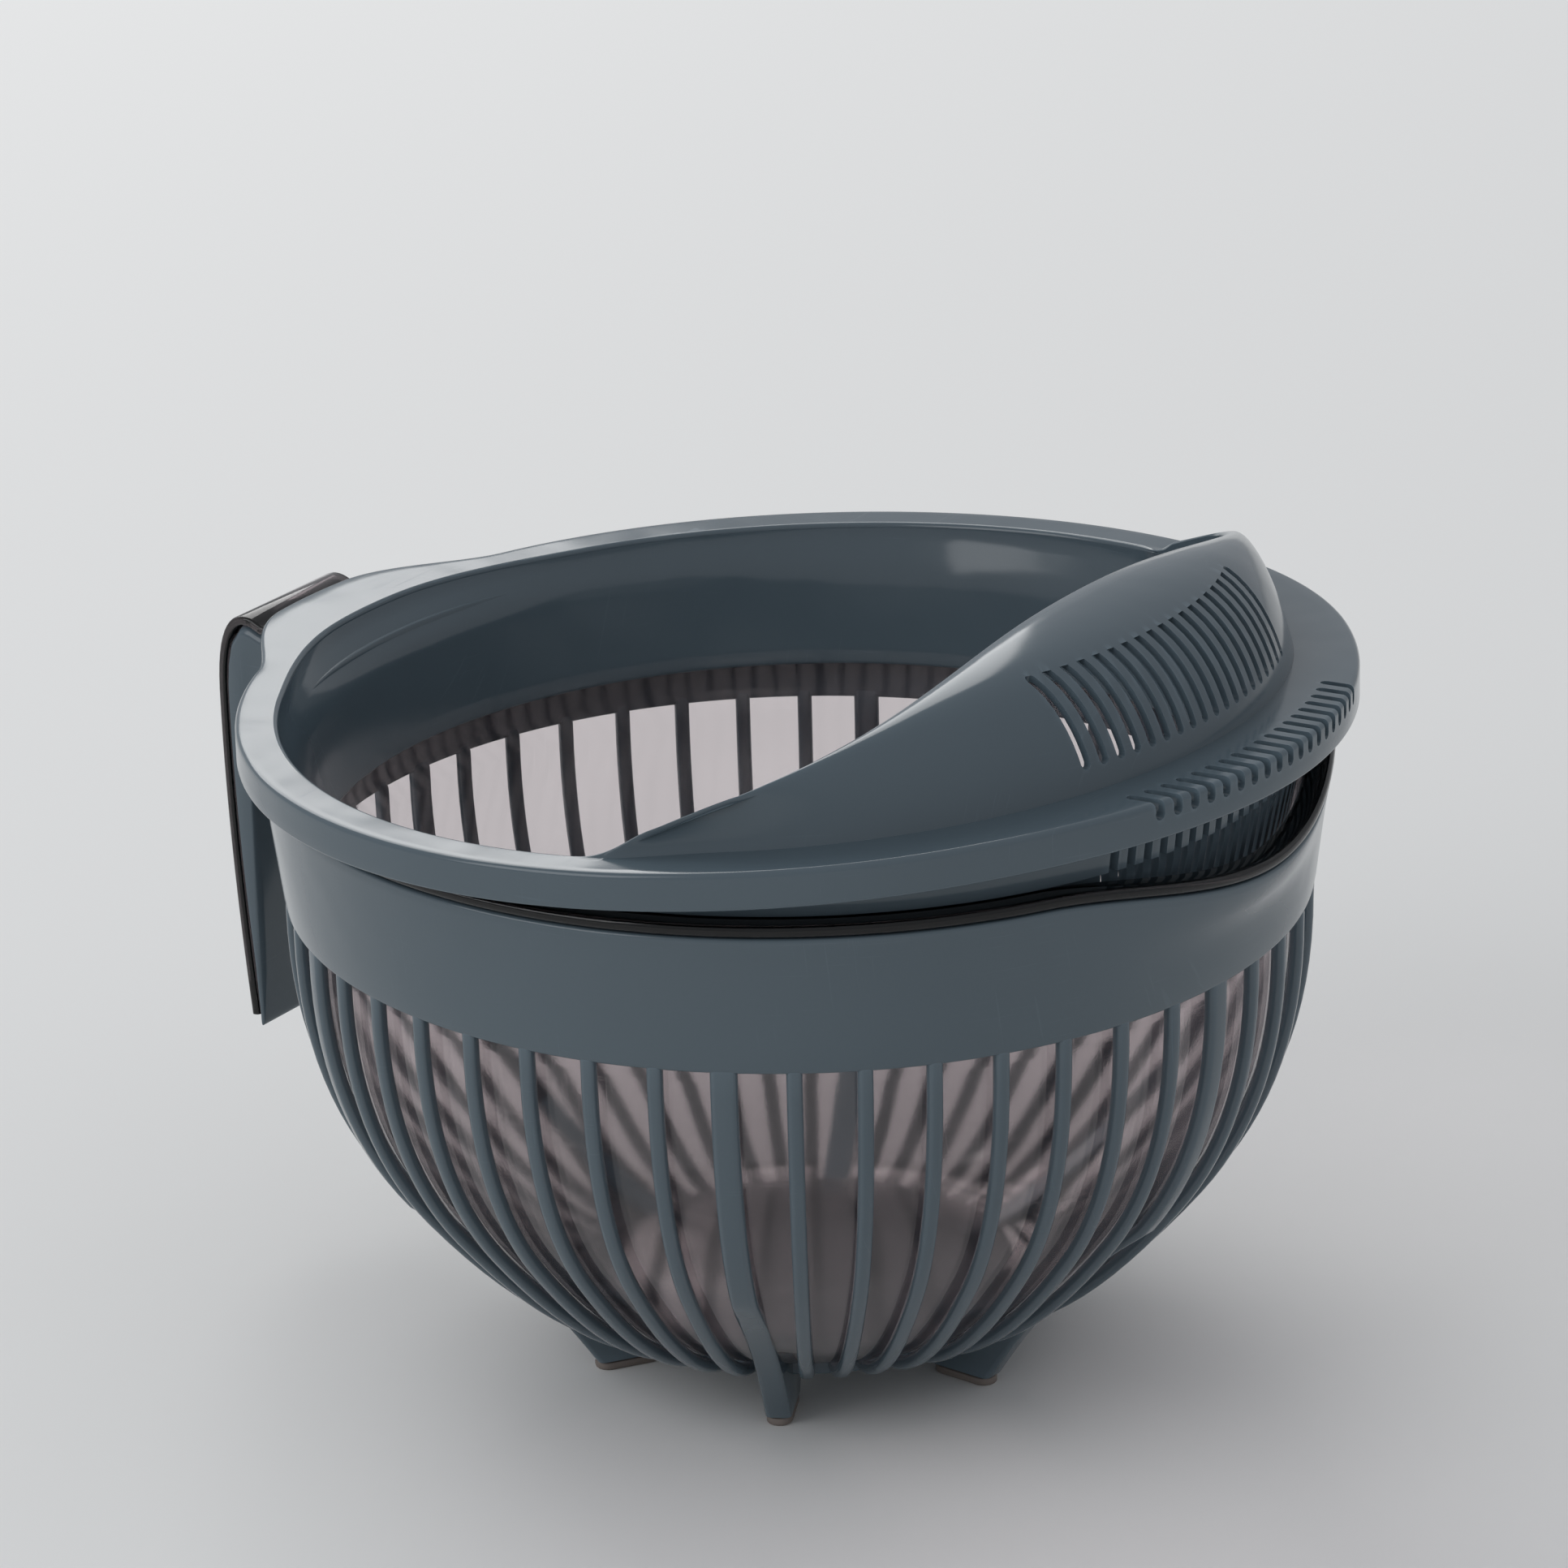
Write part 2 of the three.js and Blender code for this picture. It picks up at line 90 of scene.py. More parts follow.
# %% [markdown]
# ## Camera, floor and light
# A long lens a good way off keeps the rims as calm ellipses. The light is a studio's: one wide
# soft panel behind and to the left, a weaker one in front, to the left of the camera, and a pale
# room all round. The floor is a single pale sheet that runs out past the view.

# %% Camera
camera_place = Vector((0.9151, -1.3143, 0.7517))
look_at = Vector((0.01175, 0.0, 0.117))
lens_mm = 168.87
roll, turn, tip = (math.radians(a) for a in (1.399, 0.106, -0.686))

forward = (look_at - camera_place).normalized()
right = forward.cross(Vector((0, 0, 1))).normalized()
up = right.cross(forward)
level = Matrix((right, up, forward))
turned = Matrix(((math.cos(turn), 0, math.sin(turn)), (0, 1, 0), (-math.sin(turn), 0, math.cos(turn))))
tipped = Matrix(((1, 0, 0), (0, math.cos(tip), math.sin(tip)), (0, -math.sin(tip), math.cos(tip))))
rolled = Matrix(((math.cos(roll), -math.sin(roll), 0), (math.sin(roll), math.cos(roll), 0), (0, 0, 1)))
aimed = rolled @ tipped @ turned @ level

camera_data = bpy.data.cameras.new("camera")
camera_data.lens = lens_mm
camera_data.sensor_width = 36
camera_data.dof.use_dof = False
camera_data.clip_start = 0.05
camera_data.clip_end = 50
camera = bpy.data.objects.new("camera", camera_data)
scene.collection.objects.link(camera)
axes = Matrix((aimed[0], aimed[1], -aimed[2])).transposed()
camera.matrix_world = Matrix.Translation(camera_place) @ axes.to_4x4()
scene.camera = camera
print("camera is", round((camera_place - look_at).length, 3), "m from the bowl")

# %% Floor and lights
scene.view_settings.view_transform = "Standard"

def soft_panel(name, place, target, width, power, tint):
    data = bpy.data.lights.new(name, "AREA")
    data.shape = "RECTANGLE"
    data.size = width
    data.size_y = width
    data.energy = power
    data.color = tint
    lamp = bpy.data.objects.new(name, data)
    scene.collection.objects.link(lamp)
    lamp.location = place
    lamp.rotation_mode = "QUATERNION"
    lamp.rotation_quaternion = (Vector(target) - Vector(place)).to_track_quat("-Z", "Y")
    return lamp

soft_panel("window_panel", (-2.3, 1.5, 2.2), (0, 0, 0.1), 2.4, 50, (1.0, 0.995, 0.985))
soft_panel("fill_panel", (-0.9, -2.2, 1.6), (0, 0, 0.1), 1.8, 20, (0.97, 0.985, 1.0))

world = bpy.data.worlds.new("pale_room")
scene.world = world
world.use_nodes = True
world.node_tree.nodes["Background"].inputs["Color"].default_value = (0.93, 0.955, 1.0, 1)
world.node_tree.nodes["Background"].inputs["Strength"].default_value = 0.50

floor_material = bpy.data.materials.new("pale_paper")
floor_material.use_nodes = True
paper = floor_material.node_tree.nodes["Principled BSDF"]
paper.inputs["Base Color"].default_value = (0.79, 0.79, 0.78, 1)
paper.inputs["Roughness"].default_value = 0.85

floor_half = 12.0
floor_mesh = bpy.data.meshes.new("floor")
floor_mesh.from_pydata(
    [(-floor_half, -floor_half, 0), (floor_half, -floor_half, 0),
     (floor_half, floor_half, 0), (-floor_half, floor_half, 0)], [], [(0, 1, 2, 3)])
floor_mesh.materials.append(floor_material)
floor = bpy.data.objects.new("floor", floor_mesh)
scene.collection.objects.link(floor)
floor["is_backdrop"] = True

# %% [markdown]
# ## Helpers for drawing in profile
# All the parts are either turned about the bowl's axis or drawn from the side and given a
# width. Both come down to one thing: a row of closed rings, joined by a skin. A smoothstep is a
# ramp with soft ends, and it is what makes a spout or a tab melt into the round.

# %% Ramps and curves
def ramp(value, low, high):
    share = np.clip((np.asarray(value, float) - low) / (high - low), 0, 1)
    return share * share * (3 - 2 * share)

def bend(points, steps):
    """A Bezier curve through two ends, pulled by the points between them."""
    t = np.linspace(0, 1, steps)[:, None]
    rows = [np.array(p, float) for p in points]
    while len(rows) > 1:
        rows = [a * (1 - t) + b * t for a, b in zip(rows, rows[1:])]
    return rows[0]

def moved_in(path, depth, level_end=False):
    """A side-view path moved inwards, square to itself."""
    along = np.gradient(path, axis=0)
    if level_end:
        along[-1] = (-1, 0)
    along /= np.linalg.norm(along, axis=1, keepdims=True)
    return path + depth * np.stack([along[:, 1], -along[:, 0]], axis=1)

# %% Skins
def skin(name, rings, loop=False, ring_closed=True, crisp=38, placed=True):
    """Joins rings of points, in mm from the bowl's axis, into one smooth piece."""
    rings = np.asarray(rings, float)
    count, size, _ = rings.shape
    spans = count if loop else count - 1
    sides = size if ring_closed else size - 1
    faces = []
    for i in range(spans):
        here, there = i * size, ((i + 1) % count) * size
        for k in range(sides):
            m = (k + 1) % size
            faces.append((here + k, there + k, there + m, here + m))
    if not loop and ring_closed:
        faces.append(tuple(range(size)))
        faces.append(tuple((count - 1) * size + k for k in range(size)))
    points = rings.reshape(-1, 3) / 1000 + np.array([axis_x if placed else 0, 0, 0])
    mesh = bpy.data.meshes.new(name)
    mesh.from_pydata(points.tolist(), [], faces)
    soften(mesh, crisp)
    piece = bpy.data.objects.new(name, mesh)
    scene.collection.objects.link(piece)
    return piece

def soften(mesh, crisp):
    """Merges doubles, points every face outwards and leaves only real edges sharp."""
    work = bmesh.new()
    work.from_mesh(mesh)
    bmesh.ops.remove_doubles(work, verts=work.verts, dist=2e-6)
    bmesh.ops.dissolve_degenerate(work, edges=work.edges, dist=1e-7)
    bmesh.ops.recalc_face_normals(work, faces=work.faces)
    work.to_mesh(mesh)
    work.free()
    mesh.shade_smooth()
    mesh.set_sharp_from_angle(angle=math.radians(crisp))

def turned_about_axis(outline, steps):
    """One ring of side-view points at each of many angles round the axis."""
    angles = np.linspace(0, 2 * math.pi, steps, endpoint=False)
    outline = np.asarray(outline, float)
    return np.stack([np.stack([outline[:, 0] * math.cos(a), outline[:, 0] * math.sin(a),
                               outline[:, 1]], axis=1) for a in angles])

def rounded_slab(outer, inner, width, radius, corner_steps=3):
    """Sections between two side-view paths, as wide as width, with rounded long edges."""
    rings = []
    quarter = np.linspace(0, math.pi / 2, corner_steps + 1)
    for o, i in zip(outer, inner):
        span = np.linalg.norm(i - o)
        r = min(radius, span * 0.48, width * 0.48)
        into = (i - o) / max(span, 1e-9)
        ring = []
        for corner, (far, side) in enumerate(((0, -1), (1, -1), (1, 1), (0, 1))):
            for q in quarter:
                a = math.pi * (1 + corner / 2) + q
                depth = (span - r if far else r) + r * math.cos(a)
                across = side * (width / 2 - r) + r * math.sin(a)
                ring.append((*(o + into * depth), across))
        rings.append(ring)
    rings = np.array(rings)
    return rings[:, :, [0, 2, 1]]

print("helpers ready")

# %% [markdown]
# ## Glossy slate plastic
# The slate parts are injection moulded and polished. Such a surface is never quite flat or
# quite clean: it swims a little where it cooled, its gloss varies, hands leave hairlines, and
# corners catch the light. One node group makes all four from the piece's own coordinates, and
# each material gives it its own amounts.

# %% A group for moulded gloss
def moulded_gloss_group():
    tree = bpy.data.node_groups.new("moulded_gloss", "ShaderNodeTree")
    face = tree.interface
    colour_in = face.new_socket("Colour", in_out="INPUT", socket_type="NodeSocketColor")
    colour_in.default_value = (0.1, 0.1, 0.1, 1)
    for label, value in (("Roughness", 0.2), ("Mottle", 0.06), ("Hairlines", 0.1), ("Edge light", 0.1),
                         ("Swim", 1.0)):
        face.new_socket(label, in_out="INPUT", socket_type="NodeSocketFloat").default_value = value
    face.new_socket("Colour", in_out="OUTPUT", socket_type="NodeSocketColor")
    face.new_socket("Roughness", in_out="OUTPUT", socket_type="NodeSocketFloat")
    face.new_socket("Height", in_out="OUTPUT", socket_type="NodeSocketFloat")
    link = tree.links.new
    given = tree.nodes.new("NodeGroupInput")
    out = tree.nodes.new("NodeGroupOutput")
    coords = tree.nodes.new("ShaderNodeTexCoord")

    def noise(scale, detail, stretch=None):
        node = tree.nodes.new("ShaderNodeTexNoise")
        node.inputs["Scale"].default_value = scale
        node.inputs["Detail"].default_value = detail
        source = coords.outputs["Object"]
        if stretch:
            mapping = tree.nodes.new("ShaderNodeMapping")
            mapping.inputs["Scale"].default_value = stretch[0]
            mapping.inputs["Rotation"].default_value = stretch[1]
            link(source, mapping.inputs["Vector"])
            source = mapping.outputs["Vector"]
        link(source, node.inputs["Vector"])
        return node.outputs["Fac"]

    def maths(operation, a, b, clamp=False):
        node = tree.nodes.new("ShaderNodeMath")
        node.operation = operation
        node.use_clamp = clamp
        for socket, value in zip(node.inputs, (a, b)):
            if hasattr(value, "links"):
                link(value, socket)
            else:
                socket.default_value = value
        return node.outputs[0]

    def between(value, low, high):
        node = tree.nodes.new("ShaderNodeMapRange")
        node.interpolation_type = "SMOOTHSTEP"
        node.inputs["From Min"].default_value = low
        node.inputs["From Max"].default_value = high
        link(value, node.inputs["Value"])
        return node.outputs["Result"]

    cloud = maths("SUBTRACT", noise(24, 3), 0.5)
    grain = maths("SUBTRACT", noise(1400, 2), 0.5)
    hair_a = between(noise(3, 1, ((900, 14, 14), (0.3, 0.2, 0.5))), 0.66, 0.74)
    hair_b = between(noise(3, 1, ((16, 16, 800), (0.7, -0.4, 0.2))), 0.67, 0.75)
    hairs = maths("MAXIMUM", hair_a, hair_b)
    patch = between(noise(30, 2), 0.48, 0.62)
    hairlines = maths("MULTIPLY", maths("MULTIPLY", hairs, patch), given.outputs["Hairlines"])

    geometry = tree.nodes.new("ShaderNodeNewGeometry")
    edge = between(geometry.outputs["Pointiness"], 0.515, 0.58)
    edge_light = maths("MULTIPLY", edge, given.outputs["Edge light"])

    lift = maths("MULTIPLY", maths("ADD", cloud, maths("MULTIPLY", grain, 0.5)), given.outputs["Mottle"])
    gain = maths("ADD", maths("ADD", 1.0, lift), maths("ADD", edge_light, hairlines))
    scaled = tree.nodes.new("ShaderNodeVectorMath")
    scaled.operation = "SCALE"
    link(given.outputs["Colour"], scaled.inputs[0])
    link(gain, scaled.inputs["Scale"])
    link(scaled.outputs["Vector"], out.inputs["Colour"])

    rough = maths("ADD", given.outputs["Roughness"], maths("MULTIPLY", cloud, 0.06))
    rough = maths("ADD", rough, maths("MULTIPLY", hairlines, 0.8), clamp=True)
    link(rough, out.inputs["Roughness"])

    swim = maths("MULTIPLY", noise(55, 1), given.outputs["Swim"])
    height = maths("ADD", swim, maths("MULTIPLY", grain, 0.012))
    link(maths("SUBTRACT", height, maths("MULTIPLY", hairlines, 0.1)), out.inputs["Height"])
    return tree

moulded_gloss = moulded_gloss_group()
print("group", moulded_gloss.name, "has", len(moulded_gloss.nodes), "nodes")

# %% Slate and rubber
def gloss_material(name, colour, amounts, bump, coat=0.0):
    material = bpy.data.materials.new(name)
    material.use_nodes = True
    tree = material.node_tree
    shader = tree.nodes["Principled BSDF"]
    group = tree.nodes.new("ShaderNodeGroup")
    group.node_tree = moulded_gloss
    group.inputs["Colour"].default_value = (*colour, 1)
    for key, value in amounts.items():
        group.inputs[key].default_value = value
    relief = tree.nodes.new("ShaderNodeBump")
    relief.inputs["Strength"].default_value = 1.0
    relief.inputs["Distance"].default_value = bump
    tree.links.new(group.outputs["Height"], relief.inputs["Height"])
    tree.links.new(group.outputs["Colour"], shader.inputs["Base Color"])
    tree.links.new(group.outputs["Roughness"], shader.inputs["Roughness"])
    tree.links.new(relief.outputs["Normal"], shader.inputs["Normal"])
    shader.inputs["Coat Weight"].default_value = coat
    return material

slate = gloss_material(
    "slate_plastic", (0.080, 0.109, 0.130),
    {"Roughness": 0.14, "Mottle": 0.10, "Hairlines": 0.10, "Edge light": 0.35, "Swim": 1.0}, 0.00025)
slate.node_tree.nodes["Principled BSDF"].inputs["IOR"].default_value = 1.5
rubber = gloss_material(
    "pad_rubber", (0.16, 0.135, 0.12),
    {"Roughness": 0.72, "Mottle": 0.30, "Hairlines": 0.0, "Edge light": 0.15, "Swim": 0.3}, 0.0003)
print("materials:", slate.name, rubber.name)

# %% [markdown]
# ## Smoky clear plastic
# The bowl is a clear moulding with a rosy grey tint. Through one wall the room looks a little
# pink; along the rim and down the strap the light has a long way to go inside the plastic, and
# they turn nearly black. An attribute on the mesh, the depth of plastic plus painted shade on the
# low wall, mixes the two colours.
# Light has to get in: rays that only carry shadow see a tinted film instead of solid glass.

# %% Smoke
def smoke_material():
    material = bpy.data.materials.new("smoke_plastic")
    material.use_nodes = True
    tree = material.node_tree
    link = tree.links.new
    shader = tree.nodes["Principled BSDF"]
    # The attribute holds the depth of plastic, and on the low bowl wall painted shade as well.
    depth = tree.nodes.new("ShaderNodeAttribute")
    depth.attribute_name = "plastic_depth_and_shade"
    tint = tree.nodes.new("ShaderNodeMix")
    tint.data_type = "RGBA"
    tint.inputs["A"].default_value = (0.77, 0.71, 0.72, 1)
    tint.inputs["B"].default_value = (0.022, 0.015, 0.018, 1)
    link(depth.outputs["Fac"], tint.inputs["Factor"])
    group = tree.nodes.new("ShaderNodeGroup")
    group.node_tree = moulded_gloss
    for key, value in {"Roughness": 0.06, "Mottle": 0.05, "Hairlines": 0.05, "Edge light": 0.0,
                       "Swim": 0.35}.items():
        group.inputs[key].default_value = value
    relief = tree.nodes.new("ShaderNodeBump")
    relief.inputs["Distance"].default_value = 0.0002
    link(tint.outputs["Result"], group.inputs["Colour"])
    link(group.outputs["Colour"], shader.inputs["Base Color"])
    link(group.outputs["Roughness"], shader.inputs["Roughness"])
    link(group.outputs["Height"], relief.inputs["Height"])
    link(relief.outputs["Normal"], shader.inputs["Normal"])
    shader.inputs["Transmission Weight"].default_value = 1.0
    shader.inputs["IOR"].default_value = 1.45
    film = tree.nodes.new("ShaderNodeBsdfTransparent")
    link(tint.outputs["Result"], film.inputs["Color"])
    rays = tree.nodes.new("ShaderNodeLightPath")
    mixed = tree.nodes.new("ShaderNodeMixShader")
    link(rays.outputs["Is Shadow Ray"], mixed.inputs["Fac"])
    link(shader.outputs["BSDF"], mixed.inputs[1])
    link(film.outputs["BSDF"], mixed.inputs[2])
    link(mixed.outputs["Shader"], tree.nodes["Material Output"].inputs["Surface"])
    return material

smoke = smoke_material()

def mark_depth_and_shade(piece, values):
    """Writes how dark the smoke is at each point: the depth of plastic, from 0 in a thin wall to 1 in the
    rim, and painted shade where it is given.
    """
    attribute = piece.data.attributes.new("plastic_depth_and_shade", "FLOAT", "POINT")
    attribute.data.foreach_set("value", np.asarray(values, np.float32))

def points_of(piece):
    """A piece's points in mm, measured from the bowl's axis."""
    found = np.zeros(len(piece.data.vertices) * 3, np.float32)
    piece.data.vertices.foreach_get("co", found)
    return found.reshape(-1, 3) * 1000 - np.array([axis_x * 1000, 0, 0])

print("smoke ready")

# %% [markdown]
# ## The shape that everything nests in
# From the side, the cage is a full belly, a little squarer than an ellipse, that leaves the band
# upright and takes a soft turn into a flat floor. The bowl is the same curve moved in. At the
# pouring side the rims of both drop and spread into a shallow spout.

# %% Belly and spout
belly_fullness = 2.28      # 2 makes a plain ellipse, more makes it squarer
belly_depth = band_bottom - foot_height
belly_end = math.radians(36)

def belly(steps):
    power = 2 / belly_fullness
    angles = np.linspace(0, belly_end, steps)
    arc = np.stack([band_bottom_radius * np.cos(angles) ** power,
                    band_bottom - belly_depth * np.sin(angles) ** power], axis=1)
    slope = band_bottom_radius / belly_depth * math.tan(belly_end) ** (2 - power)
    turn_radius = arc[-1][0] - (arc[-1][1] - foot_height) * slope
    foot = bend([arc[-1], (turn_radius, foot_height), (floor_radius - 4, foot_height)], steps)
    return np.vstack([arc, foot[1:]])

def add_spout(rings, deep_share=0.7):
    x, y, z = rings[..., 0], rings[..., 1], rings[..., 2]
    angle = np.degrees(np.abs(np.arctan2(y, x)))
    deep = band_top - deep_share * (band_top - band_bottom)
    share = (1 - ramp(angle, 0, 30)) * ramp(z, deep, band_top)
    radius = np.maximum(np.hypot(x, y), 1e-6)
    grow = 1 + spout_flare * share / radius
    return np.stack([x * grow, y * grow, z - spout_dip * share], axis=-1)

print("belly, mm:", belly(5).round(1).tolist())

# %% [markdown]
# ## The cage's band and floor
# The band leans out a little so that the moulding leaves its tool. Its corners are rounded, and
# its lower edge is where the ribs start.

# %% Band
def corner(centre, radius, start, stop, steps=5):
    angles = np.radians(np.linspace(start, stop, steps))
    return np.stack([centre[0] + radius * np.cos(angles), centre[1] + radius * np.sin(angles)], axis=1)

def band_outline():
    soft = 0.9
    low_out, top_out = band_bottom_radius, band_top_radius
    heights = np.linspace(band_bottom + 3, band_top - 3, 7)
    slope = (top_out - low_out) / (band_top - band_bottom)
    out_face = [(low_out + slope * (h - band_bottom), h) for h in heights]
    in_face = [(r - band_wall, h) for r, h in out_face[::-1]]
    return np.vstack([
        corner((low_out - soft, band_bottom + soft), soft, -90, 0), out_face,
        corner((top_out - soft, band_top - soft), soft, 0, 90),
        corner((top_out - band_wall + soft, band_top - soft), soft, 90, 180), in_face,
        corner((low_out - band_wall + soft, band_bottom + soft), soft, 180, 270)])

band = skin("cage_band", add_spout(turned_about_axis(band_outline(), 288)), loop=True)
band.data.materials.append(slate)

# %% Floor of the cage
def floor_outline():
    top, low, edge = foot_height + rib_depth + 0.1, foot_height - 0.4, floor_radius
    return np.vstack([[(0, low), (20, low), (36, low)], corner((edge - 1, low + 1), 1, -90, 0),
                      corner((edge - 1, top - 1), 1, 0, 90), [(36, top), (20, top), (0, top)]])

cage_floor = skin("cage_floor", turned_about_axis(floor_outline(), 96), loop=True, ring_closed=False)
cage_floor.data.materials.append(slate)
print("band", len(band.data.polygons), "faces, floor", len(cage_floor.data.polygons), "faces")

# %% [markdown]
# ## Ribs
# Forty-eight ribs run from the band to the floor, and every eighth is a wide one that goes on
# down into a foot. Two ribs are drawn, and Geometry Nodes puts them round the axis: a line of
# points gives each rib its number, the number gives its turn, and the remainder by eight says
# which of the two it is.

# %% One narrow rib and one wide rib
rib_width, wide_rib_width = 3.6, 6.2
belly_steps = 15

def narrow_rib():
    outer = belly(belly_steps)
    inner = moved_in(outer, rib_depth, level_end=True)
    root_out = np.array([[band_bottom_radius - 0.4, band_bottom + 2.0]])
    root_in = root_out - [[1.7, 0.0]]
    rings = rounded_slab(np.vstack([root_out, outer]), np.vstack([root_in, inner]), rib_width, 1.35, 4)
    return skin("narrow_rib", rings, placed=False)

def wide_rib():
    outer = belly(belly_steps)
    inner = moved_in(outer, rib_depth, level_end=True)
    leave = belly_steps - 1
    sole = 2.3
    foot_out = bend([outer[leave], (74.5, 31.5), (64.5, 17.0), (54.8, sole)], 12)
    foot_in = np.vstack([bend([inner[leave], (66, 22), (44, 15.2), (34.2, 14.0)], 8),
                         bend([(34.2, 14.0), (34.0, 8.0), (38.2, sole)], 5)[1:]])
    root_out = np.array([[band_bottom_radius - 0.4, band_bottom + 2.0]])
    root_in = root_out - [[1.7, 0.0]]
    o = np.vstack([root_out, outer[:leave], foot_out])
    i = np.vstack([root_in, inner[:leave], foot_in])
    return skin("wide_rib", rounded_slab(o, i, wide_rib_width, 1.5, 4), placed=False)

rib_models = [narrow_rib(), wide_rib()]
for model in rib_models:
    model.data.materials.append(slate)
print("ribs drawn:", [len(m.data.polygons) for m in rib_models], "faces")

# %% A tree that stands copies round the axis
def round_tree(name, models, every):
    tree = bpy.data.node_groups.new(name, "GeometryNodeTree")
    face = tree.interface
    face.new_socket("Geometry", in_out="INPUT", socket_type="NodeSocketGeometry")
    for label, kind, value in (("Count", "NodeSocketInt", 48), ("Every", "NodeSocketInt", every),
                               ("First angle", "NodeSocketFloat", 0.0), ("Axis X", "NodeSocketFloat", 0.0)):
        face.new_socket(label, in_out="INPUT", socket_type=kind).default_value = value
    face.new_socket("Finish", in_out="INPUT", socket_type="NodeSocketMaterial")
    face.new_socket("Geometry", in_out="OUTPUT", socket_type="NodeSocketGeometry")
    link = tree.links.new
    given = tree.nodes.new("NodeGroupInput")
    out = tree.nodes.new("NodeGroupOutput")

    line = tree.nodes.new("GeometryNodeMeshLine")
    link(given.outputs["Count"], line.inputs["Count"])
    line.inputs["Offset"].default_value = (0, 0, 0)
    index = tree.nodes.new("GeometryNodeInputIndex")

    def maths(operation, a, b):
        node = tree.nodes.new("ShaderNodeMath")
        node.operation = operation
        for socket, value in zip(node.inputs, (a, b)):
            if hasattr(value, "links"):
                link(value, socket)
            else:
                socket.default_value = value
        return node.outputs[0]

    step = maths("DIVIDE", 2 * math.pi, given.outputs["Count"])
    angle = maths("ADD", maths("MULTIPLY", index.outputs[0], step), given.outputs["First angle"])
    spin = tree.nodes.new("ShaderNodeCombineXYZ")
    link(angle, spin.inputs["Z"])
    seat = tree.nodes.new("ShaderNodeCombineXYZ")
    link(given.outputs["Axis X"], seat.inputs["X"])
    special = maths("COMPARE", maths("MODULO", index.outputs[0], given.outputs["Every"]), 0.0)
    plain = maths("SUBTRACT", 1.0, special)
    placed = tree.nodes.new("GeometryNodeSetPosition")
    link(line.outputs["Mesh"], placed.inputs["Geometry"])
    link(seat.outputs[0], placed.inputs["Position"])

    join = tree.nodes.new("GeometryNodeJoinGeometry")
    for model, chosen in zip(models, (plain, special)):
        info = tree.nodes.new("GeometryNodeObjectInfo")
        info.inputs["Object"].default_value = model
        stand = tree.nodes.new("GeometryNodeInstanceOnPoints")
        link(placed.outputs["Geometry"], stand.inputs["Points"])
        link(info.outputs["Geometry"], stand.inputs["Instance"])
        link(chosen, stand.inputs["Selection"])
        link(spin.outputs[0], stand.inputs["Rotation"])
        link(stand.outputs["Instances"], join.inputs["Geometry"])
    realize = tree.nodes.new("GeometryNodeRealizeInstances")
    finish = tree.nodes.new("GeometryNodeSetMaterial")
    link(join.outputs["Geometry"], realize.inputs["Geometry"])
    link(realize.outputs["Geometry"], finish.inputs["Geometry"])
    link(given.outputs["Finish"], finish.inputs["Material"])
    link(finish.outputs["Geometry"], out.inputs["Geometry"])
    return tree

def grown(name, tree, values):
    """Runs a tree on an empty mesh, keeps the result as a plain mesh and drops the modifier."""
    holder = bpy.data.objects.new(name + "_holder", bpy.data.meshes.new(name + "_holder"))
    scene.collection.objects.link(holder)
    modifier = holder.modifiers.new("grow", "NODES")
    modifier.node_group = tree
    for item in tree.interface.items_tree:
        if item.item_type == "SOCKET" and item.in_out == "INPUT" and item.name in values:
            modifier[item.identifier] = values[item.name]
    seen = bpy.context.evaluated_depsgraph_get()
    mesh = bpy.data.meshes.new_from_object(holder.evaluated_get(seen))
    mesh.name = name
    piece = bpy.data.objects.new(name, mesh)
    scene.collection.objects.link(piece)
    bpy.data.objects.remove(holder)
    return piece

# %% Ribs round the cage
first_rib_angle = math.radians(-4.1)
rib_tree = round_tree("ribs_round_the_axis", rib_models, 8)
ribs = grown("cage_ribs", rib_tree, {"Count": 48, "Every": 8, "First angle": first_rib_angle,
                                     "Axis X": axis_x, "Finish": slate})
print("cage_ribs:", len(ribs.data.polygons), "faces, box", [round(v * 1000, 1) for v in ribs.dimensions])

# %% [markdown]
# ## Foot pads
# Each foot stands on a thin rubber pad with round ends. One pad is drawn as a stack of rounded
# outlines, and the tree that placed the ribs places six of them.

# %% Pads
def pad_model(name):
    rings = []
    for inset, height in ((0.5, 0.0), (0.15, 0.25), (0.0, 0.6), (0.0, 1.5), (0.2, 1.85), (0.6, 2.0)):
        half = wide_rib_width / 2
        r = half - inset
        low_end, high_end = 38.2 + half, 54.8 - half
        ends = []
        for centre, start in ((low_end, 90), (high_end, 270)):
            turn_points = corner((centre, 0), r, start, start + 180, 9)
            ends.append(turn_points)
        flat = np.vstack(ends)
        rings.append(np.column_stack([flat, np.full(len(flat), height)]))
    return skin(name, rings, placed=False)

pad_models = [pad_model("plain_pad"), pad_model("spare_pad")]
pad_tree = round_tree("pads_round_the_axis", pad_models, 7)
pads = grown("foot_pads", pad_tree, {"Count": 6, "Every": 7, "First angle": first_rib_angle,
                                     "Axis X": axis_x, "Finish": rubber})
for model in (*rib_models, *pad_models):
    bpy.data.objects.remove(model)
print("foot_pads:", len(pads.data.polygons), "faces")

# %% [markdown]
# ## The double handle
# The cage has a handle of its own: an arm out of the band, then a grip that hangs down. The
# bowl's handle is a thin smoky strap that comes off its rim, passes under the ring's tab and
# hangs down outside the grip, so that one hand holds both. Both are slabs between two side
# views, so each pair of paths is cut into the same number of stations.

# %% Paths of the strap
handle_width = 38.0
strap_outer = band_top_radius + 31.8
strap_top = band_top + 8.6
handle_bottom = strap_top - 104.0
strap_thickness = 2.3
grip_thickness = 6.3
tab_under = band_top + 9.7 - 2 - 0.6
tab_edge = band_top_radius + 5.3 + 12.5 + 0.3

